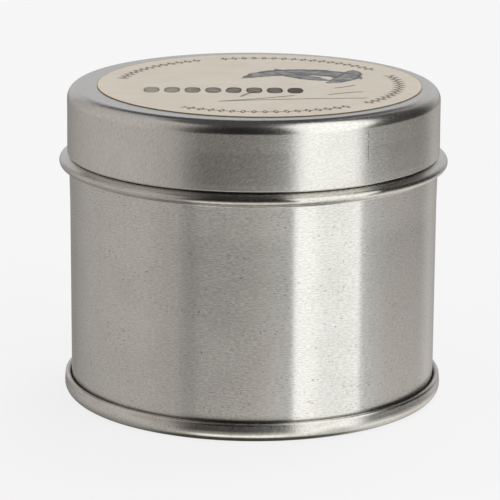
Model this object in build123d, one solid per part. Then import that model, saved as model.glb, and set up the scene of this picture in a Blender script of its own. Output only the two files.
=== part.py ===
from build123d import *

from math import cos, radians, sin, tan
import os

# Watercolour graphite pan in a round slip-lid tin, in millimetres.
# +Z is the tin's axis, and the origin is the centre of the ring that the tin stands on.
# Each tinplate piece is one sheet of even thickness, so it is drawn as the line that the middle of
# the sheet follows in the (radius, height) plane, thickened, and turned about the axis.

# Tinplate
SHEET = 0.25
HALF = SHEET / 2
PAST_AXIS = -1.0  # radius where the line of a piece that crosses the axis starts

# Body wall
BODY_R = 30.0  # outside of the straight wall
FLARE = 0.12  # how far the wall is drawn out just below the bead
FLARE_START = 32.0
FLARE_BEND = 120.0  # of the sheet at the start of the flare
BEAD_R = 31.7  # outside of the rolled bead that the lid comes down on
BEAD_MID = 38.7
BEAD_NOSE_R = 0.7
BEAD_SLOPE = 18.0  # of its two flanks, in degrees
NECK_R = 29.72  # outside of the neck that the lid slips over
NECK_TOP = 48.6
CURL_R = 0.65  # the raw edge is curled inwards to this outside radius
CURL_TURN = 290.0
WELD_WIDTH = 1.8  # side weld at the back, in degrees
WELD_PROUD = 0.06  # outside only

# Double seam between the wall and the base
SEAM_R = 31.15
SEAM_HEIGHT = 3.1
SEAM_INNER_CORNER = 0.5
SEAM_FOOT_R = 30.35  # the flat foot that the tin stands on turns up outside this radius
SEAM_FOOT_BEND = 0.5
SEAM_UNDER_SLOPE = 40.0  # of the underside, outside the foot, in degrees
SEAM_OUTER_CORNER = 1.5
WALL_HOOK = 1.05  # straight part of the wall's hook, which points up
BASE_HOOK = 1.1  # straight part of the base's hook, which points down between wall and wall hook
COMPOUND_WIDTH = 0.34
COMPOUND_GAP = 0.03

# Base disc
BASE_FIT = 0.05  # between the base's upright and the wall
PANEL_UNDERSIDE = 2.6
PANEL_STEP = 0.5  # the middle of the panel is stepped up
PANEL_STEP_R = 22.0
PANEL_BEND = 0.6

# Graphite cake, poured on the base
CAKE_R = 29.7
CAKE_DEPTH = 11.0
CAKE_CREEP = 0.9  # how far the cake climbs the wall
CAKE_CREEP_WIDTH = 1.6
CAKE_GAP = 0.05

# Slip lid
LID_TOP = 50.9
LID_BOTTOM = 39.85
LID_R = 30.35  # outside of the skirt
LID_SHOULDER_R = 2.0
HEM_R = 30.39  # outside of the skirt at its hem
HEM_HEIGHT = 1.2
HEM_STEP = 5.0  # height over which the skirt widens to the hem
HEM_BEND = 3.0
HEM_FOLD_R = 0.3

# Paper label
LABEL_R = 26.4
LABEL_OFFSET = 0.9  # stuck on a little off the lid's centre
LABEL_THICKNESS = 0.12

UP = (0, 1)
DOWN = (0, -1)
OUT = (1, 0)


def turned(profile):
    """Turns a face drawn in the (radius, height) plane about the tin's axis."""
    return revolve(Plane.XZ * profile, Axis.Z, 360)


def sheet(*path):
    """A piece of tinplate whose middle follows the joined lines of the path."""
    line = Wire([edge for part in path for edge in part.edges()])
    outline = line.offset_2d(HALF, kind=Kind.ARC, side=Side.BOTH, closed=True)
    beside_axis = Pos(BODY_R, LID_TOP / 2) * Rectangle(2 * BODY_R, 2 * LID_TOP)
    return turned(make_face(outline) & beside_axis)


def seam_layers():
    """Radii of the middles of the seam's four layers, from the wall out to the seam's face."""
    wall = BODY_R - HALF
    face = SEAM_R - HALF
    pitch = (face - wall) / 3
    return wall, wall + pitch, wall + 2 * pitch, face


def seam_under(radius):
    """Height of the middle of the seam's sloping underside, or of its line carried on to another radius."""
    return HALF + (radius - SEAM_FOOT_R) * tan(radians(SEAM_UNDER_SLOPE))


def seam_levels():
    """Heights of the centres of the seam's lower bend, in the wall, and upper bend, in the base."""
    wall, base_hook, wall_hook, face = seam_layers()
    gap = base_hook - wall - SHEET
    off_underside = (wall_hook - wall) / 2 + SHEET + gap
    lower = seam_under(base_hook) + off_underside / cos(radians(SEAM_UNDER_SLOPE))
    upper = SEAM_HEIGHT - HALF - (face - base_hook) / 2
    return lower, upper


def bead_corners(wall, neck):
    """Points where the middles of the wall, the bead's flanks and the neck would meet unrounded."""
    slope = radians(BEAD_SLOPE)
    nose = BEAD_NOSE_R - HALF
    apex = BEAD_R - HALF + nose * (1 / sin(slope) - 1)
    below = (wall, BEAD_MID - (apex - wall) * tan(slope))
    above = (neck, BEAD_MID + (apex - neck) * tan(slope))
    return below, (apex, BEAD_MID), above


def make_tin_wall():
    """Rolled strip with its hook in the seam, the bead, the neck and the curled edge."""
    wall, _, wall_hook, _ = seam_layers()
    lower, _ = seam_levels()
    neck = NECK_R - HALF
    hook = Line((wall_hook, lower + WALL_HOOK), (wall_hook, lower))
    under = JernArc(hook @ 1, DOWN, (wall_hook - wall) / 2, -180)
    side = FilletPolyline(
        under @ 1,
        (wall, FLARE_START),
        *bead_corners(wall + FLARE, neck),
        (neck, NECK_TOP - CURL_R),
        radius=[FLARE_BEND, 0.4, BEAD_NOSE_R - HALF, 0.3],
    )
    curl = JernArc(side @ 1, UP, CURL_R - HALF, CURL_TURN)
    return sheet(hook, under, side, curl) + make_side_weld(lower)


def make_side_weld(bottom):
    """Slightly proud strip where the wall's two ends are welded, at the back."""
    height = FLARE_START - bottom
    middle = Pos(BODY_R - (SHEET - WELD_PROUD) / 2, bottom + height / 2)
    strip = Plane.XZ * (middle * Rectangle(SHEET + WELD_PROUD, height))
    return Rot(0, 0, 90 - WELD_WIDTH / 2) * revolve(strip, Axis.Z, WELD_WIDTH)


def make_base_disc():
    """Stamped base: stepped panel, upright inside the wall, and the outer folds of the seam."""
    _, base_hook, _, face = seam_layers()
    _, upper = seam_levels()
    upright = BODY_R - SHEET - BASE_FIT - HALF
    panel = PANEL_UNDERSIDE + HALF
    dish = FilletPolyline(
        (PAST_AXIS, panel + PANEL_STEP),
        (PANEL_STEP_R - PANEL_STEP, panel + PANEL_STEP),
        (PANEL_STEP_R + PANEL_STEP, panel),
        (upright, panel),
        (upright, HALF),
        (SEAM_FOOT_R, HALF),
        (face, seam_under(face)),
        (face, upper),
        radius=[PANEL_BEND] * 3 + [SEAM_INNER_CORNER - HALF, SEAM_FOOT_BEND - HALF, SEAM_OUTER_CORNER - HALF],
    )
    over = JernArc(dish @ 1, UP, (face - base_hook) / 2, 180)
    hook = Line(over @ 1, (base_hook, upper - BASE_HOOK))
    return sheet(dish, over, hook)


def make_seam_compound():
    """Ring of sealing compound between the end of the wall's hook and the top of the seam."""
    _, _, wall_hook, _ = seam_layers()
    lower, upper = seam_levels()
    bottom = lower + WALL_HOOK + HALF + COMPOUND_GAP
    top = upper + COMPOUND_WIDTH / 4
    middle = Pos(wall_hook, (bottom + top) / 2)
    return turned(middle * Rectangle(COMPOUND_WIDTH, top - bottom))


def make_graphite_cake():
    """Poured cake: flat on top, climbing a little where it meets the wall."""
    outer = PANEL_UNDERSIDE + SHEET + CAKE_GAP
    middle = outer + PANEL_STEP
    top = outer + CAKE_DEPTH
    rim = (CAKE_R, top + CAKE_CREEP)
    under = Polyline(
        (0, top),
        (0, middle),
        (PANEL_STEP_R - PANEL_STEP + CAKE_GAP, middle),
        (PANEL_STEP_R + PANEL_STEP + CAKE_GAP, outer),
        (CAKE_R, outer),
        rim,
    )
    flat = Line((0, top), (CAKE_R - CAKE_CREEP_WIDTH, top))
    creep = TangentArc(flat @ 1, rim, tangent=OUT)
    return turned(make_face([*under.edges(), *flat.edges(), *creep.edges()]))


def make_lid_shell():
    """Drawn lid: flat top, rounded shoulder, skirt, and an edge folded inwards."""
    skirt = LID_R - HALF
    hem = HEM_R - HALF
    fold = HEM_FOLD_R - HALF
    cap = FilletPolyline(
        (PAST_AXIS, LID_TOP - HALF),
        (skirt, LID_TOP - HALF),
        (skirt, LID_BOTTOM + HEM_HEIGHT + HEM_STEP),
        (hem, LID_BOTTOM + HEM_HEIGHT),
        (hem, LID_BOTTOM + HEM_FOLD_R),
        radius=[LID_SHOULDER_R - HALF, HEM_BEND, HEM_BEND],
    )
    turn_in = JernArc(cap @ 1, DOWN, fold, -180)
    inner = Line(turn_in @ 1, (hem - 2 * fold, LID_BOTTOM + HEM_HEIGHT))
    return sheet(cap, turn_in, inner)


def make_lid_label():
    """Round printed paper label."""
    flat = (Align.CENTER, Align.CENTER, Align.MIN)
    return Pos(LABEL_OFFSET, 0, LID_TOP) * Cylinder(LABEL_R, LABEL_THICKNESS, align=flat)


os.makedirs("parts", exist_ok=True)
export_step(make_tin_wall(), "parts/tin_wall.step")
export_step(make_base_disc(), "parts/base_disc.step")
export_step(make_seam_compound(), "parts/seam_compound.step")
export_step(make_graphite_cake(), "parts/graphite_cake.step")
export_step(make_lid_shell(), "parts/lid_shell.step")
export_step(make_lid_label(), "parts/lid_label.step")
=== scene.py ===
"""Looks of a round slip-lid tin with a pan of watercolour graphite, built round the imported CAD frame."""

import math

import bpy
import numpy as np
from mathutils import Euler, Matrix, Vector, noise


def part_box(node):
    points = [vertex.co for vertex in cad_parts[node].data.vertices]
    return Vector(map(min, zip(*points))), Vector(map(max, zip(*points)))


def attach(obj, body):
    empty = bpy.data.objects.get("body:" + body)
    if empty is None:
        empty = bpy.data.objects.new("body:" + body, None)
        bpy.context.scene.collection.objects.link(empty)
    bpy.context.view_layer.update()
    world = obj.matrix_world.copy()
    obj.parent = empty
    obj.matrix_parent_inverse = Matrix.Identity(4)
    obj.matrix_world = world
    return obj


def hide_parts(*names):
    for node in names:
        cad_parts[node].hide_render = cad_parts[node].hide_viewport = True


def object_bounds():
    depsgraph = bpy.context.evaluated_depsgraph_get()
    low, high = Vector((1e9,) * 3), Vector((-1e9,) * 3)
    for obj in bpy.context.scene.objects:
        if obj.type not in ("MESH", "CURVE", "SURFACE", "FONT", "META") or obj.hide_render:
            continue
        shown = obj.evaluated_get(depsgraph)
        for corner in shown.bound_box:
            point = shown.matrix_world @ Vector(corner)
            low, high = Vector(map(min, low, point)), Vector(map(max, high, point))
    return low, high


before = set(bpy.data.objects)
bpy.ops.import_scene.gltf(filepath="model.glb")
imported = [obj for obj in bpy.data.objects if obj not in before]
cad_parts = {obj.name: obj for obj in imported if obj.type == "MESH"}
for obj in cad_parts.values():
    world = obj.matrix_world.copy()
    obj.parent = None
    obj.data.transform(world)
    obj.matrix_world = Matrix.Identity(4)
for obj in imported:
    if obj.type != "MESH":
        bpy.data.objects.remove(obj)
cad_low, cad_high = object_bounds()

# Shapes are worked out in millimetres and turned into metres when a mesh is made.
MM = 0.001
SEGMENTS = 384  # round the axis
RUN_STEP = 2.5  # longest piece of a straight run
ARC_STEP = math.radians(9)  # longest piece of an arc
CAP_STEPS = 6  # round a sheet's raw edge
SHEET_MAP = "sheet"  # UV map in millimetres: u runs along the steel's rolling grain, v across it


def box_mm(node):
    """Lowest and highest corners of a CAD node's box, in millimetres."""
    low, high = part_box(node)
    return low / MM, high / MM


wall_high = box_mm("tin_wall")[1]
base_high = box_mm("base_disc")[1]
cake_low, cake_high = box_mm("graphite_cake")
lid_low, lid_high = box_mm("lid_shell")
label_low, label_high = box_mm("lid_label")

# Tinplate
SHEET = 0.25
HALF = SHEET / 2

# Body wall
BODY_R = 30.0
FLARE = 0.12
FLARE_START = 32.0
FLARE_BEND = 120.0
BEAD_R = wall_high.x
BEAD_MID = 38.7
BEAD_NOSE_R = 0.7
BEAD_SLOPE = math.radians(18)
NECK_R = 29.72
NECK_TOP = wall_high.z
CURL_R = 0.65
CURL_TURN = math.radians(290)
WELD_WIDTH = math.radians(1.8)
WELD_PROUD = 0.06

# Double seam and base
SEAM_R = base_high.x
SEAM_HEIGHT = 3.1
SEAM_INNER_CORNER = 0.5
SEAM_FOOT_R = 30.35
SEAM_FOOT_BEND = 0.5
SEAM_UNDER_SLOPE = math.radians(40)
SEAM_OUTER_CORNER = 1.5
SEAM_WAIST = 1.6  # where the seam's face starts to lean in
SEAM_LEAN = 0.1  # at the top of the face
SEAM_WAIST_BEND = 5.0
WALL_HOOK = 1.05
BASE_HOOK = 1.1
BASE_FIT = 0.05
PANEL_UNDERSIDE = 2.6
PANEL_STEP = 0.5
PANEL_STEP_R = 22.0
PANEL_BEND = 0.6

# Lid and label
LID_TOP = lid_high.z
LID_BOTTOM = lid_low.z
LID_R = 30.35
LID_SHOULDER_R = 2.0
HEM_R = lid_high.x
HEM_HEIGHT = 1.2
HEM_STEP = 5.0
HEM_BEND = 3.0
HEM_FOLD_R = 0.3
LABEL_R = (label_high.x - label_low.x) / 2
LABEL_X = (label_high.x + label_low.x) / 2
LABEL_CUT_R = 0.03
LABEL_CUT_STEPS = 4
LABEL_ROWS = 24  # rings of the mesh in front, and then behind
LABEL_BACK_ROWS = 4

# Directions of the steel's rolling grain on the two discs, as angles about +Z from +X
LID_GRAIN = math.radians(28)
BASE_GRAIN = math.radians(75)


# ---------------------------------------------------------------- lines in the (radius, height) plane


def heading_of(step):
    """Angle of a step in the (radius, height) plane."""
    return math.atan2(step[1], step[0])


def ahead(heading, length):
    """A step of some length."""
    return np.array([math.cos(heading), math.sin(heading)]) * length


def run(start, end):
    """Points of a straight run, without its start, as (radius, height, heading)."""
    step = np.subtract(end, start)
    count = max(1, math.ceil(np.hypot(*step) / RUN_STEP))
    return [(*np.add(start, step * i / count), heading_of(step)) for i in range(1, count + 1)]


def arc(start, heading, radius, turn):
    """Points of an arc that leaves start along heading, without its start. turn is positive to the left."""
    side = math.copysign(1, turn)
    centre = start + ahead(heading + side * math.pi / 2, radius)
    count = max(2, math.ceil(abs(turn) / ARC_STEP))
    points = []
    for i in range(1, count + 1):
        now = heading + turn * i / count
        points.append((*(centre + ahead(now - side * math.pi / 2, radius)), now))
    return points


def rounded_line(corners, radii):
    """Straight runs through the corners, joined by tangent arcs."""
    first = heading_of(np.subtract(corners[1], corners[0]))
    line = [(*corners[0], first)]
    for before, corner, after, radius in zip(corners, corners[1:], corners[2:], radii):
        into = heading_of(np.subtract(corner, before))
        turn = (heading_of(np.subtract(after, corner)) - into + math.pi) % (2 * math.pi) - math.pi
        bend = corner - ahead(into, radius * math.tan(abs(turn) / 2))
        line += run(line[-1][:2], bend)
        line += arc(bend, into, radius, turn)
    return line + run(line[-1][:2], corners[-1])


def extended(line, radius, turn):
    """The line with an arc added at its end."""
    r, z, heading = line[-1]
    return line + arc(np.array([r, z]), heading, radius, turn)


def lengths_along(line):
    """Distance of each point of the line from its start, along it."""
    places = np.array([point[:2] for point in line])
    steps = np.hypot(*np.diff(places, axis=0).T)
    return np.concatenate([[0], np.cumsum(steps)])


def blank_radii(line):
    """Radius that each point of a stamped or drawn piece had on the flat disc it was made from."""
    places = np.array([point[:2] for point in line])
    steps = np.hypot(*np.diff(places, axis=0).T)
    areas = np.cumsum((places[1:, 0] + places[:-1, 0]) * steps)
    return np.sqrt(np.concatenate([[0], areas]) + places[0, 0] ** 2)


def cap(point, half):
    """Half-round end of a sheet, from its left face to its right face."""
    r, z, heading = point
    turns = [math.pi / 2 - math.pi * i / CAP_STEPS for i in range(1, CAP_STEPS)]
    return [(*(np.array([r, z]) + ahead(heading + turn, half)), heading + turn) for turn in turns]


def thickened(line, coordinate, from_axis):
    """Outline of a sheet whose middle is the line: rows of (radius, height, outward heading, coordinate).
    A sheet from the axis has an open outline, which starts and ends there."""
    left = [(*(np.array(p[:2]) + ahead(p[2] + math.pi / 2, HALF)), p[2] + math.pi / 2) for p in line]
    right = [(*(np.array(p[:2]) + ahead(p[2] - math.pi / 2, HALF)), p[2] - math.pi / 2) for p in line]
    left = [(*p, c) for p, c in zip(left, coordinate)]
    right = [(*p, c) for p, c in zip(right, coordinate)]
    end = [(*p, coordinate[-1]) for p in cap(line[-1], HALF)]
    r, z, heading = line[0]
    start = [] if from_axis else [(*p, coordinate[0]) for p in cap((r, z, heading + math.pi), HALF)]
    return np.array(left + end + right[::-1] + start)


# ---------------------------------------------------------------- meshes turned about the axis


def turned_vertices(outline, first_angle, poles, shift):
    """Number of each row's first vertex, and the places and normals of all vertices, row by row."""
    angles = [first_angle + step * 2 * math.pi / SEGMENTS for step in range(SEGMENTS)]
    first = {}
    places, normals = [], []
    for row, (radius, height, heading, _) in enumerate(outline):
        if row in poles:
            continue
        first[row] = len(places)
        out = math.cos(heading)
        for angle in angles:
            places.append((radius * math.cos(angle) + shift, radius * math.sin(angle), height))
            normals.append((out * math.cos(angle), out * math.sin(angle), math.sin(heading)))
    for row in poles:
        first[row] = len(places)
        places.append((shift, 0.0, outline[row][1]))
        normals.append((0.0, 0.0, math.copysign(1, math.sin(outline[row][2]))))
    return first, places, normals


def turned_corners(first, poles, one, two, step):
    """Corners of one face between two rows: the vertex's number, its row, and its step round the axis.
    At a pole the face has one corner, halfway round its own width."""
    corners = []
    for row, side in ((one, step), (two, step), (two, step + 1), (one, step + 1)):
        if row not in poles:
            corners.append((first[row] + side % SEGMENTS, row, side))
        elif side == step:
            corners.append((first[row], row, step + 0.5))
    return corners


def turned_mesh(name, outline, to_map, first_angle=0.0, from_axis=False, shift=0.0):
    """A piece turned about the axis. outline has rows of (radius, height, outward heading, coordinate),
    to_map(coordinate, angle) gives the sheet map, and shift moves the axis along X."""
    last = len(outline) - 1
    pairs = [(row, row + 1) for row in range(last)]
    poles = ()
    if from_axis:
        poles = (0, last)
    else:
        pairs.append((last, 0))
    first, places, normals = turned_vertices(outline, first_angle, poles, shift)
    faces, maps = [], []
    for one, two in pairs:
        for step in range(SEGMENTS):
            corners = turned_corners(first, poles, one, two, step)
            faces.append([vertex for vertex, _, _ in corners])
            for _, row, side in corners:
                maps.append(to_map(outline[row][3], first_angle + side * 2 * math.pi / SEGMENTS))
    return mesh_object(name, np.array(places) * MM, faces, maps, normals)


def mesh_object(name, places, faces, maps, normals=None):
    """A smooth mesh object with the sheet map, and with its own normals where they are given."""
    mesh = bpy.data.meshes.new(name)
    mesh.from_pydata([tuple(p) for p in places], [], faces)
    layer = mesh.uv_layers.new(name=SHEET_MAP)
    layer.data.foreach_set("uv", np.array(maps, np.float32).ravel())
    mesh.shade_smooth()
    if normals is not None:
        mesh.normals_split_custom_set_from_vertices(normals)
    piece = bpy.data.objects.new(name, mesh)
    bpy.context.scene.collection.objects.link(piece)
    return piece


def strip_map(along, angle):
    """Sheet map of the rolled wall: the grain runs round the tin."""
    return (angle * BODY_R, along)


def disc_map(grain):
    """Sheet map of a stamped disc: straight grain across the flat blank, carried into the drawn shape."""
    return lambda blank, angle: (blank * math.cos(angle - grain), blank * math.sin(angle - grain))


# ---------------------------------------------------------------- pieces


def seam_layers():
    """Radii of the middles of the seam's four layers, from the wall out to the seam's face."""
    wall = BODY_R - HALF
    face = SEAM_R - HALF
    pitch = (face - wall) / 3
    return wall, wall + pitch, wall + 2 * pitch, face


def seam_under(radius):
    """Height of the middle of the seam's sloping underside, or of its line carried on to another radius."""
    return HALF + (radius - SEAM_FOOT_R) * math.tan(SEAM_UNDER_SLOPE)


def seam_levels():
    """Heights of the centres of the wall's lower bend and the base's upper bend in the seam."""
    wall, base_hook, wall_hook, face = seam_layers()
    gap = base_hook - wall - SHEET
    off_underside = (wall_hook - wall) / 2 + SHEET + gap
    lower = seam_under(base_hook) + off_underside / math.cos(SEAM_UNDER_SLOPE)
    upper = SEAM_HEIGHT - HALF - (face - base_hook) / 2
    return lower, upper


def bead_corners(wall, neck):
    """Points where the middles of the wall, the bead's flanks and the neck would meet unrounded."""
    nose = BEAD_NOSE_R - HALF
    apex = BEAD_R - HALF + nose * (1 / math.sin(BEAD_SLOPE) - 1)
    below = (wall, BEAD_MID - (apex - wall) * math.tan(BEAD_SLOPE))
    above = (neck, BEAD_MID + (apex - neck) * math.tan(BEAD_SLOPE))
    return below, (apex, BEAD_MID), above


def make_wall():
    """Rolled strip: hook in the seam, straight wall, bead, neck and curled edge."""
    wall, _, wall_hook, _ = seam_layers()
    lower, _ = seam_levels()
    neck = NECK_R - HALF
    down = -math.pi / 2
    hook = [(wall_hook, lower + WALL_HOOK, down)]
    hook += run((wall_hook, lower + WALL_HOOK), (wall_hook, lower))
    hook = extended(hook, (wall_hook - wall) / 2, -math.pi)
    corners = [(wall, lower), (wall, FLARE_START), *bead_corners(wall + FLARE, neck)]
    corners.append((neck, NECK_TOP - CURL_R))
    side = rounded_line(corners, [FLARE_BEND, 0.4, BEAD_NOSE_R - HALF, 0.3])
    line = extended(hook + side[1:], CURL_R - HALF, CURL_TURN)
    outline = thickened(line, lengths_along(line), from_axis=False)
    piece = turned_mesh("wall_sheet", outline, strip_map, first_angle=math.pi / 2)
    raise_weld(piece, lower)
    return piece


def raise_weld(piece, bottom):
    """Lifts the side weld's strip a little off the outside of the wall, at the back."""
    for vertex in piece.data.vertices:
        x, y, z = vertex.co / MM
        outside = math.hypot(x, y) > BODY_R - HALF and bottom < z < FLARE_START
        if outside and abs(math.atan2(x, y)) < WELD_WIDTH / 2 and math.hypot(x, y) < BODY_R + HALF:
            grown = 1 + WELD_PROUD / BODY_R
            vertex.co.x *= grown
            vertex.co.y *= grown


def make_base():
    """Stamped base: stepped panel, upright inside the wall, and the outer folds of the seam."""
    _, base_hook, _, face = seam_layers()
    _, upper = seam_levels()
    upright = BODY_R - SHEET - BASE_FIT - HALF
    panel = PANEL_UNDERSIDE + HALF
    corners = [
        (0, panel + PANEL_STEP),
        (PANEL_STEP_R - PANEL_STEP, panel + PANEL_STEP),
        (PANEL_STEP_R + PANEL_STEP, panel),
        (upright, panel),
        (upright, HALF),
        (SEAM_FOOT_R, HALF),
        (face, seam_under(face)),
        (face, SEAM_WAIST),
        (face - SEAM_LEAN, upper),
    ]
    radii = [PANEL_BEND] * 3 + [SEAM_INNER_CORNER - HALF, SEAM_FOOT_BEND - HALF, SEAM_OUTER_CORNER - HALF]
    radii.append(SEAM_WAIST_BEND)
    line = extended(rounded_line(corners, radii), (face - SEAM_LEAN - base_hook) / 2, math.pi)
    line += run(line[-1][:2], (base_hook, upper - BASE_HOOK))
    outline = thickened(line, blank_radii(line), from_axis=True)
    return turned_mesh("base_sheet", outline, disc_map(BASE_GRAIN), from_axis=True)


def make_lid():
    """Drawn lid: flat top, rounded shoulder, skirt, and an edge folded inwards."""
    skirt = LID_R - HALF
    hem = HEM_R - HALF
    fold = HEM_FOLD_R - HALF
    corners = [
        (0, LID_TOP - HALF),
        (skirt, LID_TOP - HALF),
        (skirt, LID_BOTTOM + HEM_HEIGHT + HEM_STEP),
        (hem, LID_BOTTOM + HEM_HEIGHT),
        (hem, LID_BOTTOM + HEM_FOLD_R),
    ]
    line = extended(rounded_line(corners, [LID_SHOULDER_R - HALF, HEM_BEND, HEM_BEND]), fold, -math.pi)
    line += run(line[-1][:2], (hem - 2 * fold, LID_BOTTOM + HEM_HEIGHT))
    outline = thickened(line, blank_radii(line), from_axis=True)
    return turned_mesh("lid_sheet", outline, disc_map(LID_GRAIN), from_axis=True)


def make_label():
    """Round paper label, with a softly cut edge."""
    up, out, down = math.pi / 2, 0.0, -math.pi / 2
    top, bottom = label_high.z, label_low.z
    edge = LABEL_R - LABEL_CUT_R
    rows = [(r, top, up, r) for r in np.linspace(0, edge, LABEL_ROWS)]
    for i in range(1, LABEL_CUT_STEPS + 1):
        turn = up * (1 - i / LABEL_CUT_STEPS)
        r, z = np.array([edge, top - LABEL_CUT_R]) + ahead(turn, LABEL_CUT_R)
        rows.append((r, z, turn, LABEL_R))
    rows += [(LABEL_R, bottom, out, LABEL_R), (LABEL_R, bottom, down, LABEL_R)]
    rows += [(r, bottom, down, r) for r in np.linspace(edge, 0, LABEL_BACK_ROWS)]
    return turned_mesh("label_paper", np.array(rows), disc_map(0), from_axis=True, shift=LABEL_X)


# Graphite cake
CAKE_R = cake_high.x
CAKE_RIM = cake_high.z
CAKE_CREEP = 0.9
CAKE_CREEP_WIDTH = 1.6
CAKE_TOP = CAKE_RIM - CAKE_CREEP
CAKE_ROW = 0.4  # between two rings of the mesh
CAKE_WAVE = 0.05  # height of the skin's unevenness
CAKE_CLOUD = 6.25  # width of the skin's uneven patches
CAKE_RIPPLE = 1.1  # of the pour rings, in radians per millimetre
CAKE_EDGE_POWER = 6  # how abruptly the unevenness ends at the wall
CAKE_PITS = 46
CAKE_PITS_R = 27.0
CAKE_PIT_WIDTHS = (0.35, 0.8)
CAKE_PIT_DEPTH = 0.35  # of its width
CAKE_PIT_REACH = 2.5  # of its width
CAKE_PIT_STEEPNESS = 2.5
CAKE_LIP_R = 1.2  # of its width
CAKE_LIP_STEEPNESS = 8
CAKE_LIP_SHARE = 0.35  # height of the lip against the depth of the hollow
CAKE_SKIN = 0.01  # the skin is all that lies higher than this below the flat top
CAKE_SEED = 11


def cake_outline():
    """Half section of the cake: flat top that creeps up the wall, side, and a foot that fits the base."""
    creep_r = (CAKE_CREEP_WIDTH**2 + CAKE_CREEP**2) / (2 * CAKE_CREEP)
    creep_turn = math.asin(CAKE_CREEP_WIDTH / creep_r)
    flat_r = CAKE_R - CAKE_CREEP_WIDTH
    count = round(flat_r / CAKE_ROW)
    line = [(flat_r * i / count, CAKE_TOP, 0.0) for i in range(count + 1)]
    line = extended(line, creep_r, creep_turn)
    foot = cake_low.z
    step = foot + PANEL_STEP
    corners = [
        (CAKE_R, foot),
        (PANEL_STEP_R + PANEL_STEP, foot),
        (PANEL_STEP_R - PANEL_STEP, step),
        (0, step),
    ]
    for corner in corners:
        line += run(line[-1][:2], corner)
    lengths = lengths_along(line)
    return np.array([(r, z, heading + math.pi / 2, c) for (r, z, heading), c in zip(line, lengths)])


def cake_pits():
    """Places and widths of the burst bubbles."""
    draw = np.random.default_rng(CAKE_SEED)
    far = np.sqrt(draw.uniform(0, 1, CAKE_PITS)) * CAKE_PITS_R
    around = draw.uniform(0, 2 * math.pi, CAKE_PITS)
    return list(zip(far * np.cos(around), far * np.sin(around), draw.uniform(*CAKE_PIT_WIDTHS, CAKE_PITS)))


def pit_shape(away):
    """Section of a burst bubble with its raised lip. away is the distance from its middle, in widths."""
    hollow = math.exp(-away * away * CAKE_PIT_STEEPNESS)
    lip = math.exp(-((away - CAKE_LIP_R) ** 2) * CAKE_LIP_STEEPNESS)
    return hollow - CAKE_LIP_SHARE * lip


def cake_drop(spot, pits):
    """How far the cake's skin lies below its flat top at a spot, in millimetres."""
    ripple = math.sin(spot.length * CAKE_RIPPLE)
    drop = CAKE_WAVE * (1 - noise.noise(spot / CAKE_CLOUD) + ripple / 2)
    for x, y, width in pits:
        away = math.hypot(spot.x - x, spot.y - y) / width
        if away < CAKE_PIT_REACH:
            drop += CAKE_PIT_DEPTH * width * pit_shape(away)
    return max(0.0, drop)


def make_cake():
    """Cast graphite with a faintly uneven skin, pour rings and a few burst bubbles."""
    piece = turned_mesh("graphite_cast", cake_outline(), disc_map(0), from_axis=True)
    # normals of (0, 0, 0) stand for the mesh's own, as its skin is moved below
    piece.data.normals_split_custom_set([(0, 0, 0)] * len(piece.data.loops))
    pits = cake_pits()
    for vertex in piece.data.vertices:
        if vertex.co.z < (CAKE_TOP - CAKE_SKIN) * MM:
            continue
        spot = Vector((vertex.co.x, vertex.co.y, 0)) / MM
        fade = max(0.0, 1 - (spot.length / CAKE_R) ** CAKE_EDGE_POWER)
        vertex.co.z -= cake_drop(spot, pits) * fade * MM
    return piece


# ---------------------------------------------------------------- shader nodes


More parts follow.
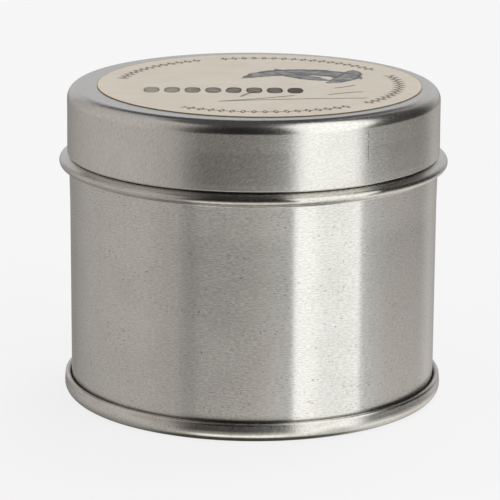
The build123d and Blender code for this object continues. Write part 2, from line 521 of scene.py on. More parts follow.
class Nodes:
    """Adds nodes to a tree with their inputs set or linked."""

    def __init__(self, tree):
        """Empties the tree."""
        self.tree = tree
        tree.nodes.clear()

    def add(self, kind, *given, **named):
        """A new shader node with its inputs set by place or by name."""
        node = self.tree.nodes.new("ShaderNode" + kind)
        for key, value in [*enumerate(given), *named.items()]:
            if value is not None:
                self.plug(node.inputs[key], value)
        return node

    def plug(self, socket, value):
        """Links a socket to a socket, or sets a constant."""
        if isinstance(value, bpy.types.NodeSocket):
            self.tree.links.new(value, socket)
        else:
            socket.default_value = value

    def math(self, operation, *values):
        """Result of a Math node."""
        node = self.add("Math", *values)
        node.operation = operation
        return node.outputs[0]

    def plus(self, *terms):
        """Sum of the terms."""
        total = terms[0]
        for term in terms[1:]:
            total = self.math("ADD", total, term)
        return total

    def times(self, *factors):
        """Product of the factors."""
        product = factors[0]
        for factor in factors[1:]:
            product = self.math("MULTIPLY", product, factor)
        return product

    def vector(self, operation, *values):
        """Result of a Vector Math node. An input given as None keeps its default."""
        node = self.add("VectorMath")
        node.operation = operation
        for socket, value in zip(node.inputs, values):
            if value is not None:
                self.plug(socket, value)
        return node.outputs["Value" if operation in ("LENGTH", "DOT_PRODUCT", "DISTANCE") else "Vector"]

    def smooth(self, value, start, end, low=0.0, high=1.0):
        """Eases from low to high as value goes from start to end."""
        node = self.add("MapRange", value, start, end, low, high)
        node.interpolation_type = "SMOOTHSTEP"
        return node.outputs[0]

    def between(self, value, start, end, soft):
        """1 between start and end, easing to 0 outside."""
        rise = self.smooth(value, start - soft, start + soft)
        fall = self.smooth(value, end - soft, end + soft, 1.0, 0.0)
        return self.times(rise, fall)

    def band(self, value, start, end, soft, strength):
        """strength between start and end, easing to 0 outside."""
        return self.times(self.between(value, start, end, soft), strength)

    def mix(self, factor, one, two, mode="MIX"):
        """Two colours mixed."""
        node = self.add("Mix")
        node.data_type = "RGBA"
        node.blend_type = mode
        for index, value in ((0, factor), (6, one), (7, two)):
            self.plug(node.inputs[index], value)
        return node.outputs[2]

    def noise(self, place, size, detail=2.0, rough=0.5, seed=0.0):
        """Noise with features of the given size along each axis of place."""
        scaled = self.vector("MULTIPLY", place, [1 / s for s in size])
        moved = self.vector("ADD", scaled, (seed, seed * 0.7, seed * 0.3))
        node = self.add("TexNoise", Vector=moved, Scale=1.0, Detail=detail, Roughness=rough)
        return node.outputs[0]

    def around_half(self, value, amount):
        """amount times how far value is from one half."""
        return self.times(self.math("SUBTRACT", value, 0.5), amount)

    def uv(self):
        """Place on the sheet map."""
        node = self.add("UVMap")
        node.uv_map = SHEET_MAP
        return node.outputs[0]

    def split(self, place):
        """The three parts of a vector."""
        return self.add("SeparateXYZ", place).outputs[:3]


def linear(value):
    """A screen value from 0 to 255 as linear light, by the sRGB curve."""
    share = value / 255
    if share > 0.04045:
        return ((share + 0.055) / 1.055) ** 2.4
    return share / 12.92


def colour(red, green, blue):
    """A colour given as it looks on a screen, from 0 to 255, as linear values with alpha."""
    return (linear(red), linear(green), linear(blue), 1.0)


# ---------------------------------------------------------------- finishes

# Sizes of the tinplate's texture along the grain and across it, in millimetres of the sheet map
FINE_GRAIN = (0.7, 0.17, 1)
HAIR_GRAIN = (3, 0.26, 1)
SHEET_CLOUD = (10, 7, 1)
FLECK_SIZE = (0.42, 0.27, 1)
FLECK_FIELD = (6, 4, 1)
FINE_SHADE = 1.8  # how strongly each of them shows in the metal's colour
HAIR_SHADE = 0.45
CLOUD_SHADE = 0.5
FLECK_SHADE = 0.6
GRAIN_DEPTH = 3e-6  # of the relief, in metres, as for the three below
CAST_DEPTH = 2.5e-5
COMPOUND_DEPTH = 1e-5
FIBRE_DEPTH = 1.2e-5
GRAIN_TURN = 0.25  # of the stretched shine against the grain, in whole turns

# Side weld, in millimetres from its middle
WELD_WANDER = 0.5
WELD_WAVER = (40, 1.2, 1)  # size of its bends across it and along it
WELD_LINE_EDGE = (0.35, 0.7)
WELD_BURN_EDGE = (0.9, 2.4)

# Wear on the bead, and painted shade on the wall under the lid's edge (with some dirt there), under the
# bead and at the top of the seam, as lowest height, highest height, softness and strength
WALL_SMEAR = (7, 0.7, 1)  # size of the waves of their edges, on the sheet map
BEAD_WORN = (BEAD_MID - 0.75, BEAD_MID + 0.6, 0.2, 0.25)
WALL_SHADE_AND_DIRT = (
    (BEAD_MID + 0.42, LID_BOTTOM, 0.12, 0.15),
    (BEAD_MID - 1.06, BEAD_MID - 0.85, 0.14, 0.8),
    (SEAM_HEIGHT - 0.9, SEAM_HEIGHT + 0.12, 0.1, 0.4),
)

# Wear on the base, and painted shade in the crevice over the seam and towards the foot. Texture sizes in
# metres, radii and heights in millimetres
BASE_PATCH = (0.008, 0.008, 0.002)
BASE_SMEAR = (0.004, 0.004, 0.001)
CREVICE_INNER_R = 30.4  # the painted shade in the crevice over the seam fades out between these radii
CREVICE_OUTER_R = 30.7
CREVICE_HEIGHTS = (SEAM_HEIGHT - 0.6, SEAM_HEIGHT - 0.3)  # and begins between these heights
CREVICE_SHADE = 0.4
LOWER_SHADE = (1.4, 0.5, 0.0, 0.3)  # two heights, and the strength at each
FOOT_SHADE = (0.5, 0.15, 0.0, 0.2)

# Scratch on the lid's skirt
SCRATCH_ANGLE = math.radians(35.6)  # about the axis, from the front to the right
SCRATCH_EDGE = (0.0015, 0.0035)  # in radians from its middle
SCRATCH_WANDER = 0.012
SCRATCH_LOW = LID_BOTTOM + 2.2
SCRATCH_HIGH = LID_TOP - 2.4

# Sizes of the other textures: the cake's in millimetres, the compound's in metres
CAST_CLOUD = (6, 6, 3)
CAST_DUST = (0.25, 0.25, 0.25)
CAST_FLOW = (2.2, 9, 4)
GRAPHITE_METAL = 0.55
GRAPHITE_ROUGHNESS = 0.42
COMPOUND_MOTTLE = (0.002, 0.002, 0.001)
COMPOUND_ROUGHNESS = 0.6

TIN_LIGHT = colour(236, 234, 229)
TIN_DARK = colour(208, 204, 197)
WORN_TIN = colour(176, 169, 155)
# colour of the painted shade in the tin's creases, and of some dirt under the lid's edge
SHADE_AND_GRIME = colour(74, 67, 54)
FLECK = colour(88, 80, 70)
WELD_BURN = colour(150, 138, 116)
WELD_LINE = colour(104, 106, 112)
SCRATCH = colour(84, 78, 72)
GRAPHITE_LIGHT = colour(116, 117, 122)
GRAPHITE_DARK = colour(62, 62, 66)
COMPOUND_LIGHT = colour(128, 134, 126)
COMPOUND_DARK = colour(96, 104, 98)
PAPER_LIGHT = colour(204, 196, 184)
PAPER_DARK = colour(187, 179, 165)
PAPER_AGED = colour(206, 190, 156)
# colour of the painted shade line round the label's cut edge
PAPER_EDGE_SHADE = colour(96, 82, 62)
BROWN_INK = colour(92, 66, 56)
GREY_WASH = colour(70, 77, 88)
DARK_WASH = colour(48, 44, 40)
PENCIL_GREY = colour(56, 48, 44)


def new_material(name):
    """A material with a principled shader, its nodes and that shader."""
    material = bpy.data.materials.new(name)
    material.use_nodes = True
    nodes = Nodes(material.node_tree)
    shader = nodes.add("BsdfPrincipled")
    output = nodes.add("OutputMaterial")
    nodes.plug(output.inputs["Surface"], shader.outputs[0])
    return material, nodes, shader


def tinplate(name, roughness, anisotropy, grain=1.0, specks=1.0, seed=0.0):
    """Matt tinplate: rolling grain along u, tiny dark specks and faint clouds.
    Also returns what a piece's own marks are added to: the nodes, the shader and the metal's colour."""
    material, nodes, shader = new_material(name)
    sheet = nodes.uv()
    fine = nodes.noise(sheet, FINE_GRAIN, seed=seed)
    hair = nodes.noise(sheet, HAIR_GRAIN, seed=seed + 3)
    cloud = nodes.noise(sheet, SHEET_CLOUD, detail=4.0, rough=0.6, seed=seed + 7)
    shade = nodes.plus(
        0.5,
        nodes.around_half(fine, FINE_SHADE * grain),
        nodes.around_half(hair, HAIR_SHADE * grain),
        nodes.around_half(cloud, CLOUD_SHADE),
    )
    metal = nodes.mix(nodes.smooth(shade, 0, 1), TIN_DARK, TIN_LIGHT)
    fleck = nodes.smooth(nodes.noise(sheet, FLECK_SIZE, detail=1.0, seed=seed + 11), 0.66, 0.74)
    where = nodes.smooth(nodes.noise(sheet, FLECK_FIELD, seed=seed + 13), 0.36, 0.6)
    metal = nodes.mix(nodes.times(fleck, where, FLECK_SHADE * specks), metal, FLECK)
    nodes.plug(shader.inputs["Base Color"], metal)
    shader.inputs["Metallic"].default_value = 1.0
    uneven = nodes.plus(roughness, nodes.around_half(fine, 0.10), nodes.around_half(cloud, 0.08))
    nodes.plug(shader.inputs["Roughness"], uneven)
    shader.inputs["Anisotropic"].default_value = anisotropy
    shader.inputs["Anisotropic Rotation"].default_value = GRAIN_TURN
    tangent = nodes.add("Tangent")
    tangent.direction_type = "UV_MAP"
    tangent.uv_map = SHEET_MAP
    nodes.plug(shader.inputs["Tangent"], tangent.outputs[0])
    height = nodes.plus(nodes.times(fine, 0.7), nodes.times(hair, 0.35))
    relief = nodes.add("Bump", Strength=1.0, Distance=GRAIN_DEPTH * grain, Height=height)
    nodes.plug(shader.inputs["Normal"], relief.outputs[0])
    return material, nodes, shader, metal


def wall_material():
    """Tinplate of the rolled wall: the grey line of the side weld, a worn bead, and painted shade under the
    lid's edge, under the bead and at the top of the seam, with some dirt under the lid's edge.
    """
    material, nodes, shader, metal = tinplate("tinplate_wall", 0.22, 1.0)
    along = nodes.split(nodes.uv())[0]
    start = math.pi / 2 * BODY_R
    end = start + 2 * math.pi * BODY_R
    off = nodes.math("MINIMUM", nodes.math("SUBTRACT", along, start), nodes.math("SUBTRACT", end, along))
    wander = nodes.around_half(nodes.noise(nodes.uv(), WELD_WAVER, seed=21), WELD_WANDER)
    off = nodes.plus(off, wander)
    metal = nodes.mix(nodes.smooth(off, *WELD_BURN_EDGE, 0.45, 0.0), metal, WELD_BURN)
    metal = nodes.mix(nodes.smooth(off, *WELD_LINE_EDGE, 0.85, 0.0), metal, WELD_LINE)
    z = nodes.times(nodes.split(nodes.add("TexCoord").outputs["Object"])[2], 1 / MM)
    smear = nodes.noise(nodes.uv(), WALL_SMEAR, detail=3.0, seed=31)
    z = nodes.plus(z, nodes.around_half(smear, 0.5))
    metal = nodes.mix(nodes.band(z, *BEAD_WORN), metal, WORN_TIN)
    # painted shade: darker bands under the lid's edge, under the bead and over the seam, with some dirt
    # under the lid's edge
    darkening = nodes.plus(*[nodes.band(z, *darker_band) for darker_band in WALL_SHADE_AND_DIRT])
    metal = nodes.mix(nodes.times(darkening, 0.85), metal, SHADE_AND_GRIME)
    nodes.plug(shader.inputs["Base Color"], metal)
    return material


def lid_material():
    """Tinplate of the drawn lid, with one long hairline scratch down the skirt."""
    material, nodes, shader, metal = tinplate("tinplate_lid", 0.24, 0.3, grain=0.85, specks=0.2, seed=40)
    place = nodes.add("TexCoord").outputs["Object"]
    x, y, z = nodes.split(place)
    angle = nodes.math("ARCTAN2", x, nodes.times(y, -1))
    wander = nodes.around_half(nodes.noise(place, (0.01, 0.01, 0.004), seed=5), SCRATCH_WANDER)
    off = nodes.math("ABSOLUTE", nodes.plus(angle, wander, -SCRATCH_ANGLE))
    line = nodes.smooth(off, *SCRATCH_EDGE, 1.0, 0.0)
    reach = nodes.between(z, SCRATCH_LOW * MM, SCRATCH_HIGH * MM, 0.6 * MM)
    gaps = nodes.smooth(nodes.noise(place, (1, 1, 0.0011), seed=9), 0.36, 0.5)
    metal = nodes.mix(nodes.times(line, reach, gaps, 0.55), metal, SCRATCH)
    nodes.plug(shader.inputs["Base Color"], metal)
    return material


def base_material():
    """Tinplate of the stamped base: dull patches where the seaming rolls worked it, and painted shade in
    the crevice over the seam and towards the foot.
    """
    material, nodes, shader, metal = tinplate("tinplate_base", 0.24, 0.3, grain=0.7, seed=80)
    place = nodes.add("TexCoord").outputs["Object"]
    patch = nodes.smooth(nodes.noise(place, BASE_PATCH, detail=4.0, seed=3), 0.45, 0.7)
    metal = nodes.mix(nodes.times(patch, 0.5), metal, WORN_TIN)
    smear = nodes.noise(place, BASE_SMEAR, detail=3.0, seed=6)
    z = nodes.plus(nodes.times(nodes.split(place)[2], 1 / MM), nodes.around_half(smear, 0.3))
    out = nodes.vector("LENGTH", nodes.vector("MULTIPLY", place, (1, 1, 0)))
    inner = nodes.smooth(out, CREVICE_OUTER_R * MM, CREVICE_INNER_R * MM)
    crevice = nodes.times(inner, nodes.smooth(z, *CREVICE_HEIGHTS))
    # painted shade: darker in the crevice over the seam and towards the foot
    darkening = nodes.plus(
        nodes.times(crevice, CREVICE_SHADE),
        nodes.smooth(z, *LOWER_SHADE),
        nodes.smooth(z, *FOOT_SHADE),
    )
    metal = nodes.mix(darkening, metal, SHADE_AND_GRIME)
    nodes.plug(shader.inputs["Base Color"], metal)
    return material


def cake_material():
    """Cast watercolour graphite: dark, faintly metallic, with dull and polished patches."""
    material, nodes, shader = new_material("graphite")
    place = nodes.vector("SCALE", nodes.add("TexCoord").outputs["Object"], None, None, 1 / MM)
    cloud = nodes.noise(place, CAST_CLOUD, detail=5.0, rough=0.62, seed=2)
    dust = nodes.noise(place, CAST_DUST, detail=3.0, seed=4)
    flow = nodes.noise(place, CAST_FLOW, detail=4.0, seed=6)
    shade = nodes.plus(
        0.5,
        nodes.around_half(cloud, 1.5),
        nodes.around_half(dust, 0.8),
        nodes.around_half(flow, 0.7),
    )
    graphite = nodes.mix(nodes.smooth(shade, 0, 1), GRAPHITE_DARK, GRAPHITE_LIGHT)
    nodes.plug(shader.inputs["Base Color"], graphite)
    shader.inputs["Metallic"].default_value = GRAPHITE_METAL
    dull = nodes.plus(GRAPHITE_ROUGHNESS, nodes.around_half(cloud, 0.35), nodes.around_half(dust, 0.2))
    nodes.plug(shader.inputs["Roughness"], dull)
    height = nodes.plus(nodes.times(dust, 0.5), nodes.times(flow, 0.8))
    relief = nodes.add("Bump", Strength=1.0, Distance=CAST_DEPTH, Height=height)
    nodes.plug(shader.inputs["Normal"], relief.outputs[0])
    return material


def compound_material():
    """Rubbery sealing compound, grey-green and slightly mottled."""
    material, nodes, shader = new_material("sealing_compound")
    place = nodes.add("TexCoord").outputs["Object"]
    cloud = nodes.noise(place, COMPOUND_MOTTLE, detail=3.0)
    nodes.plug(shader.inputs["Base Color"], nodes.mix(cloud, COMPOUND_DARK, COMPOUND_LIGHT))
    nodes.plug(shader.inputs["Roughness"], nodes.plus(COMPOUND_ROUGHNESS, nodes.around_half(cloud, 0.2)))
    relief = nodes.add("Bump", Strength=1.0, Distance=COMPOUND_DEPTH, Height=cloud)
    nodes.plug(shader.inputs["Normal"], relief.outputs[0])
    return material


# ---------------------------------------------------------------- printed label

# Paper and brush, with texture sizes in millimetres
FIBRE_SIZE = (0.35, 0.35, 1)
PAPER_CLOUD = (5, 5, 1)
BRUSH_WOBBLE = (2.2, 1.4, 1)
PAPER_ROUGHNESS = 0.72
MOST_PAINT = 0.95
AGED_RIM = (LABEL_R - 0.9, LABEL_R - 0.1, 0.0, 0.45)  # two radii, and the strength at each
# painted shade line just inside the label's cut edge: two radii, and the strength at each
CUT_RIM_SHADE = (LABEL_R - 0.16, LABEL_R - 0.04, 0.0, 0.8)

# Border marks: sizes in millimetres, and arcs as degrees about the label's middle, from the right
BORDER_R = 22.7
BORDER_HALF = 1.15
BORDER_PITCH = 1.7
LOZENGE_STEEPNESS = 1.9
LOZENGE_LINE = BORDER_HALF * 0.72  # middle of its outline, from its own middle
LOZENGE_EDGE = (0.28, 0.44)
DOT_EDGE = (0.16, 0.26)
BORDER_ARCS = ((116, 171), (33, 107), (-43, 20), (-122, -52))

# Graded swatches: a row of small painted ovals
SWATCHES = 8
SWATCH_LEFT = -19.0
SWATCH_PITCH = 3.3
SWATCH_Y = -5.6
SWATCH_HALF = (1.3, 2.3)
SWATCH_SQUARENESS = 2.6  # 2 would make them ellipses
SWATCH_FIRST = 0.56  # strength of the palest
SWATCH_RANGE = 0.38

# Wash strokes: centre of the arc, its radius, start and end in degrees, half width
WASHES = (
    ((7.0, -1.5), 11.5, 30, 150, 3.0),
    ((-1.0, 12.0), 16.5, -44, 2, 2.2),
    ((17.5, 17.5), 15.5, 196, 250, 1.9),
)

# Pencil lines: start, end and bow, in millimetres
PENCILS = (
    ((-6.5, -14.6), (17.0, -11.4), 0.5),
    ((-6.5, -14.6), (5.5, -9.6), -0.3),
    ((-3.0, -10.8), (-0.6, -6.4), 0.2),
    ((11.0, -8.8), (16.5, -6.2), 0.3),
    ((12.0, -3.4), (15.5, -0.6), -0.2),
)
PENCIL_HALF = 0.24


def along_and_aside(nodes, spot, angle):
    """A spot's distances along a direction and to the left of it."""
    x, y, _ = nodes.split(spot)
    along = nodes.plus(nodes.times(x, math.cos(angle)), nodes.times(y, math.sin(angle)))
    aside = nodes.math("SUBTRACT", nodes.times(y, math.cos(angle)), nodes.times(x, math.sin(angle)))
    return along, aside


def wash_stroke(nodes, place, wobble, centre, radius, first, last, half):
    """How much paint one curved brush stroke leaves, darker where it dried at its edges."""
    spot = nodes.vector("SUBTRACT", place, (*centre, 0))
    along, aside = along_and_aside(nodes, spot, math.radians((first + last) / 2))
    reach = math.radians(last - first) / 2
    turn = nodes.times(nodes.math("ARCTAN2", aside, along), 1 / reach)
    off = nodes.math("SUBTRACT", nodes.vector("LENGTH", spot), radius)
    off = nodes.math("ABSOLUTE", nodes.plus(off, nodes.around_half(wobble, 1.6)))
    taper = nodes.math("SUBTRACT", 1.0, nodes.math("POWER", nodes.math("ABSOLUTE", turn), 2.5))
    inside = nodes.math("DIVIDE", off, nodes.times(nodes.math("MAXIMUM", taper, 0.02), half))
    body = nodes.smooth(inside, 0.82, 1.0, 1.0, 0.0)
    dried = nodes.between(inside, 0.62, 0.92, 0.14)
    body = nodes.times(body, nodes.smooth(nodes.math("ABSOLUTE", turn), 0.97, 1.0, 1.0, 0.0))
    return nodes.times(body, nodes.plus(0.7, nodes.times(dried, 0.3), nodes.around_half(wobble, 1.3)))


def pencil_line(nodes, place, grain, start, end, bow):
    """How dark one hand-drawn line is."""
    length = math.dist(start, end)
    angle = math.atan2(end[1] - start[1], end[0] - start[0])
    along, aside = along_and_aside(nodes, nodes.vector("SUBTRACT", place, (*start, 0)), angle)
    share = nodes.times(along, math.pi / length)
    aside = nodes.plus(aside, nodes.times(nodes.math("SINE", share), -bow))
    line = nodes.smooth(nodes.math("ABSOLUTE", aside), PENCIL_HALF * 0.4, PENCIL_HALF * 1.6, 1.0, 0.0)
    pressure = nodes.plus(0.35, nodes.times(grain, 0.8))
    return nodes.times(line, nodes.between(along, 0, length, 0.4), pressure)


def border_marks(nodes, place):
    """Ring of lozenges and dots, in four arcs."""
    x, y, _ = nodes.split(place)
    off = nodes.math("SUBTRACT", nodes.vector("LENGTH", place), BORDER_R)
    angle = nodes.math("ARCTAN2", y, x)
    along = nodes.times(angle, BORDER_R / BORDER_PITCH)
    cell = nodes.math("ABSOLUTE", nodes.math("SUBTRACT", nodes.math("FRACT", along), 0.5))
    cell = nodes.times(cell, BORDER_PITCH)
    upright = nodes.math("ABSOLUTE", off)
    lozenge = nodes.plus(nodes.times(cell, LOZENGE_STEEPNESS), upright)
    ring = nodes.math("ABSOLUTE", nodes.math("SUBTRACT", lozenge, LOZENGE_LINE))
    mark = nodes.smooth(ring, *LOZENGE_EDGE, 1.0, 0.0)
    dot = nodes.math("MAXIMUM", nodes.math("SUBTRACT", BORDER_PITCH / 2, cell), upright)
    mark = nodes.math("MAXIMUM", mark, nodes.smooth(dot, *DOT_EDGE, 1.0, 0.0))
    here = nodes.times(mark, nodes.smooth(upright, BORDER_HALF, BORDER_HALF + 0.1, 1.0, 0.0))
    arcs = [nodes.between(angle, math.radians(a), math.radians(b), 0.004) for a, b in BORDER_ARCS]
    return nodes.times(here, nodes.plus(*arcs))


def swatch_row(nodes, place, wobble):
    """Row of painted ovals, each darker than the one before."""
    x, y, _ = nodes.split(nodes.vector("SUBTRACT", place, (SWATCH_LEFT, SWATCH_Y, 0)))
    count = nodes.times(x, 1 / SWATCH_PITCH)
    step = nodes.math("FLOOR", count)
    cell = nodes.around_half(nodes.math("FRACT", count), SWATCH_PITCH / SWATCH_HALF[0])
    tall = nodes.times(y, 1 / SWATCH_HALF[1])
    sides = [nodes.math("POWER", nodes.math("ABSOLUTE", side), SWATCH_SQUARENESS) for side in (cell, tall)]
    reach = nodes.plus(*sides, nodes.around_half(wobble, 0.9))
    oval = nodes.smooth(reach, 0.9, 1.1, 1.0, 0.0)
    dried = nodes.between(reach, 0.55, 0.95, 0.2)
    strength = nodes.plus(
        SWATCH_FIRST,
        nodes.times(step, SWATCH_RANGE / SWATCHES),
        nodes.times(dried, 0.18),
        nodes.around_half(wobble, 0.5),
    )
    return nodes.times(oval, nodes.between(count, 0, SWATCHES, 0.01), strength)


def label_material():
    """Uncoated printed paper: fibres, a yellowed rim, a painted shade line at the cut edge, border,
    swatches, brush strokes, pencil lines.
    """
    material, nodes, shader = new_material("label_paper")
    place = nodes.uv()
    fibre = nodes.noise(place, FIBRE_SIZE, detail=4.0, rough=0.65, seed=3)
    cloud = nodes.noise(place, PAPER_CLOUD, detail=3.0, seed=5)
    wobble = nodes.noise(place, BRUSH_WOBBLE, detail=4.0, rough=0.6, seed=8)
    shade = nodes.plus(0.5, nodes.around_half(fibre, 1.2), nodes.around_half(cloud, 0.8))
    paper = nodes.mix(shade, PAPER_DARK, PAPER_LIGHT)
    out = nodes.vector("LENGTH", place)
    paper = nodes.mix(nodes.smooth(out, *AGED_RIM), paper, PAPER_AGED)
    # painted shade line round the cut edge
    paper = nodes.mix(nodes.smooth(out, *CUT_RIM_SHADE), paper, PAPER_EDGE_SHADE)
    brown = nodes.times(border_marks(nodes, place), nodes.plus(0.6, nodes.times(fibre, 0.6)))
    paper = nodes.mix(brown, paper, BROWN_INK)
    paint = wash_stroke(nodes, place, wobble, *WASHES[0])
    for wash in WASHES[1:]:
        paint = nodes.math("MAXIMUM", paint, wash_stroke(nodes, place, wobble, *wash))
    paper = nodes.mix(nodes.math("MINIMUM", paint, MOST_PAINT), paper, GREY_WASH)
    paper = nodes.mix(nodes.math("MINIMUM", swatch_row(nodes, place, wobble), MOST_PAINT), paper, DARK_WASH)
    pencil = pencil_line(nodes, place, fibre, *PENCILS[0])
    for line in PENCILS[1:]:
        pencil = nodes.math("MAXIMUM", pencil, pencil_line(nodes, place, fibre, *line))
    paper = nodes.mix(pencil, paper, PENCIL_GREY)
    nodes.plug(shader.inputs["Base Color"], paper)
    nodes.plug(shader.inputs["Roughness"], nodes.plus(PAPER_ROUGHNESS, nodes.around_half(fibre, 0.2)))
    relief = nodes.add("Bump", Strength=1.0, Distance=FIBRE_DEPTH, Height=fibre)
    nodes.plug(shader.inputs["Normal"], relief.outputs[0])
    return material


# ---------------------------------------------------------------- studio

FLOOR_SIDE = 6.0
FLOOR_GLOW = 0.885
FLOOR_GREY = (0.10, 0.10, 0.10, 1)
BACKGROUND = colour(245, 245, 245)

# Brightness of the studio that the metal mirrors, by azimuth in degrees to the right of the front.
# The upright walls mirror the lower ring, and the lid's shoulder mirrors the upper one.
LOWER_RING = (
    (-180, 0.46), (-162, 0.22), (-145, 0.32), (-124, 0.37), (-100, 0.41), (-75, 0.43),
    (-55, 0.46), (-36, 0.53), (-22, 0.52), (0, 0.64), (12, 0.84), (24, 0.98),
    (27, 1.24), (38, 1.16), (46, 0.82), (66, 0.80), (69, 1.06), (84, 1.06),
    (98, 0.97), (130, 0.90), (144, 0.88), (165, 0.54), (180, 0.46),
)
UPPER_RING = (
    (-180, 0.30), (-150, 0.34), (-135, 0.46), (-120, 0.54), (-70, 0.58), (-48, 0.40),
    (-37, 0.012), (60, 0.012), (78, 0.05), (128, 0.05), (145, 0.4), (180, 0.30),
)
RING_TOP = 1.25
WARM = (1.0, 0.97, 0.94, 1)
FRESH = (1.0, 1.02, 1.01, 1)
STRIP = (1.36, 1.36, 1.36, 1)
ZENITH = (0.055, 0.053, 0.055, 1)
BACK_DARK = (0.06, 0.062, 0.07, 1)
BACK_LIGHT = (0.60, 0.605, 0.625, 1)
FLOOR_FRONT = (1.45, 1.43, 1.38, 1)
UNDERSIDE = (0.10, 0.095, 0.085, 1)

# Edges between the parts of the studio, in degrees, each from none to all of the part it leads to
RING_CHANGE = (-24, -6)  # height, from the lower ring to the upper
TO_ZENITH = (56, 66)  # height
TO_UNDERSIDE = (-52, -64)  # height
TO_FLOOR = (-26, -34)  # height, in front only
TO_BEHIND = (140, 158)  # azimuth on either side

# Stretches of the studio, as first degree, last degree and softness
FRESH_STRETCH = (12, 92, 8)  # azimuth
FRONT_STRETCH = (-42, 23, 6)  # azimuth
BACK_DARK_STRETCH = (28, 70, 3)  # height
BACK_LIGHT_STRETCH = (-2, 28, 3)  # height

# The bright strip lies between two azimuths and its far edge leans to the right as it rises
STRIP_START = 25.2
STRIP_END = 69.5
STRIP_SOFT = 1.5
STRIP_LEAN = 0.55
STRIP_EAST = (0.18, 0.30)  # part of the direction along X, which keeps the strip off the top of the dome

# Softboxes that only the paper and the floor show: name, power, azimuth, height and spread in degrees
SOFTBOXES = (
    ("key_softbox", 1.3, 150, 52, 40),
    ("top_softbox", 1.3, 0, 88, 120),
)


def ring_light(nodes, share, ring):
    """Brightness round the horizon, from a ramp. share goes from 0 behind, over the left, to 1 behind."""
    ramp = nodes.add("ValToRGB", share)
    stops = ramp.color_ramp.elements
    for degrees, _ in ring[1:-1]:
        stops.new(degrees / 360 + 0.5)
    for stop, (degrees, bright) in zip(stops, ring):
        stop.position = degrees / 360 + 0.5
        stop.color = (bright / RING_TOP,) * 3 + (1,)
    return nodes.vector("SCALE", ramp.outputs[0], None, None, RING_TOP)


def bright_strip(nodes, x, azimuth, height):
    """1 in directions inside the bright strip, easing to 0 outside. x is a direction's part along X."""
    leant = nodes.math("SUBTRACT", azimuth, nodes.times(nodes.math("MAXIMUM", height, 0), STRIP_LEAN))
    return nodes.times(
        nodes.smooth(azimuth, STRIP_START - STRIP_SOFT, STRIP_START + STRIP_SOFT),
        nodes.smooth(x, *STRIP_EAST),
        nodes.smooth(leant, STRIP_END - STRIP_SOFT, STRIP_END + STRIP_SOFT, 1.0, 0.0),
    )


def studio_world():
    """Soft light from all round: a bright strip on the right, a pale wall behind and a dim ceiling.
    The camera sees a plain background instead."""
    world = bpy.data.worlds.new("studio")
    bpy.context.scene.world = world
    world.use_nodes = True
    nodes = Nodes(world.node_tree)
    direction = nodes.add("TexCoord").outputs["Generated"]
    x, y, z = nodes.split(direction)
    azimuth = nodes.times(nodes.math("ARCTAN2", x, nodes.times(y, -1)), 180 / math.pi)
    height = nodes.times(nodes.math("ARCSINE", z), 180 / math.pi)
    share = nodes.plus(nodes.times(azimuth, 1 / 360), 0.5)
    lower = ring_light(nodes, share, LOWER_RING)
    upper = ring_light(nodes, share, UPPER_RING)
    upper = nodes.mix(nodes.smooth(height, *TO_ZENITH), upper, ZENITH)
    upper = nodes.mix(bright_strip(nodes, x, azimuth, height), upper, STRIP)
    light = nodes.mix(nodes.smooth(height, *RING_CHANGE), lower, upper)
    tint = nodes.mix(nodes.between(azimuth, *FRESH_STRETCH), WARM, FRESH)
    light = nodes.mix(1.0, light, tint, "MULTIPLY")
    behind = nodes.smooth(nodes.math("ABSOLUTE", azimuth), *TO_BEHIND)
    light = nodes.mix(nodes.times(behind, nodes.between(height, *BACK_DARK_STRETCH)), light, BACK_DARK)
    light = nodes.mix(nodes.times(behind, nodes.between(height, *BACK_LIGHT_STRETCH)), light, BACK_LIGHT)
    in_front = nodes.between(azimuth, *FRONT_STRETCH)
    light = nodes.mix(nodes.times(in_front, nodes.smooth(height, *TO_FLOOR)), light, FLOOR_FRONT)
    light = nodes.mix(nodes.smooth(height, *TO_UNDERSIDE), light, UNDERSIDE)
    around = nodes.add("Background", Color=light, Strength=1.0)
    seen = nodes.add("Background", Color=BACKGROUND, Strength=1.0)
    camera_ray = nodes.add("LightPath").outputs["Is Camera Ray"]
    mixed = nodes.add("MixShader", camera_ray, around.outputs[0], seen.outputs[0])
    nodes.add("OutputWorld", Surface=mixed.outputs[0])


def soft_sun(name, power, azimuth, height, spread):
    """Light for the paper and the floor from a very large softbox, which the metal doesn't mirror."""
    lamp = bpy.data.lights.new(name, "SUN")
    lamp.energy = power
    lamp.angle = math.radians(spread)
    sun = bpy.data.objects.new(name, lamp)
    sun.rotation_euler = Euler((math.radians(90 - height), 0, math.radians(azimuth)))
    sun.visible_glossy = False
    bpy.context.scene.collection.objects.link(sun)


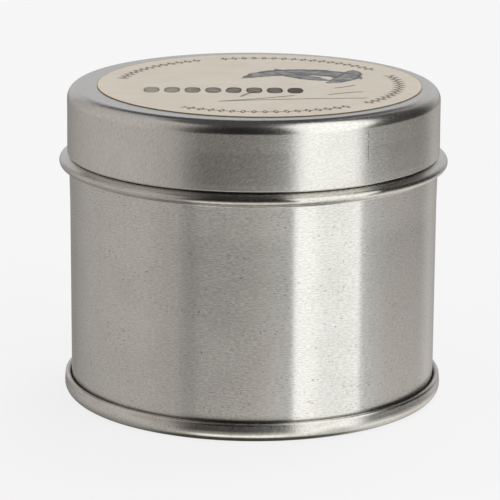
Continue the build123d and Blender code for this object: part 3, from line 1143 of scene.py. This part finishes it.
def make_floor():
    """Plain pale floor. It catches soft shadows, and the tin doesn't mirror it."""
    half = FLOOR_SIDE / 2
    corners = [(-half, -half, 0), (half, -half, 0), (half, half, 0), (-half, half, 0)]
    mesh = bpy.data.meshes.new("floor")
    mesh.from_pydata(corners, [], [(0, 1, 2, 3)])
    floor = bpy.data.objects.new("floor", mesh)
    floor.location.z = cad_low.z
    bpy.context.scene.collection.objects.link(floor)
    material = bpy.data.materials.new("floor_paint")
    material.use_nodes = True
    nodes = Nodes(material.node_tree)
    paint = nodes.add("BsdfDiffuse", Color=FLOOR_GREY)
    glow = nodes.add("Emission", Color=BACKGROUND, Strength=FLOOR_GLOW)
    both = nodes.add("AddShader", paint.outputs[0], glow.outputs[0])
    nodes.add("OutputMaterial", Surface=both.outputs[0])
    mesh.materials.append(material)
    floor.visible_glossy = False


# ---------------------------------------------------------------- camera

AIM = Vector((-0.48, 0, 23.1)) * MM  # point that the camera looks at
DISTANCE = 454.5 * MM  # from there to the camera
PITCH = math.radians(14.47)  # downwards
ROLL = math.radians(0.35)
LENS = 198.3  # in millimetres, like the sensor's width
SENSOR = 36


def make_camera():
    """Camera a little above the tin, looking down at it from the front."""
    data = bpy.data.cameras.new("camera")
    data.lens = LENS
    data.sensor_width = SENSOR
    camera = bpy.data.objects.new("camera", data)
    back = Vector((0, -math.cos(PITCH), math.sin(PITCH)))
    turn = Euler((math.pi / 2 - PITCH, 0, 0)).to_matrix() @ Matrix.Rotation(ROLL, 3, "Z")
    camera.matrix_world = Matrix.Translation(AIM + back * DISTANCE) @ turn.to_4x4()
    bpy.context.scene.collection.objects.link(camera)
    bpy.context.scene.camera = camera


# ---------------------------------------------------------------- putting it together


def finish_piece(piece, material, body, node):
    """Gives a piece its material and makes it stand for a CAD node."""
    piece.data.materials.append(material)
    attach(piece, body)
    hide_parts(node)


finish_piece(make_wall(), wall_material(), "tin", "tin_wall")
finish_piece(make_base(), base_material(), "tin", "base_disc")
finish_piece(make_cake(), cake_material(), "tin", "graphite_cake")
finish_piece(make_lid(), lid_material(), "lid", "lid_shell")
finish_piece(make_label(), label_material(), "lid", "lid_label")
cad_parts["seam_compound"].material_slots[0].material = compound_material()

make_floor()
studio_world()
for softbox in SOFTBOXES:
    soft_sun(*softbox)
make_camera()
bpy.context.scene.view_settings.view_transform = "Standard"
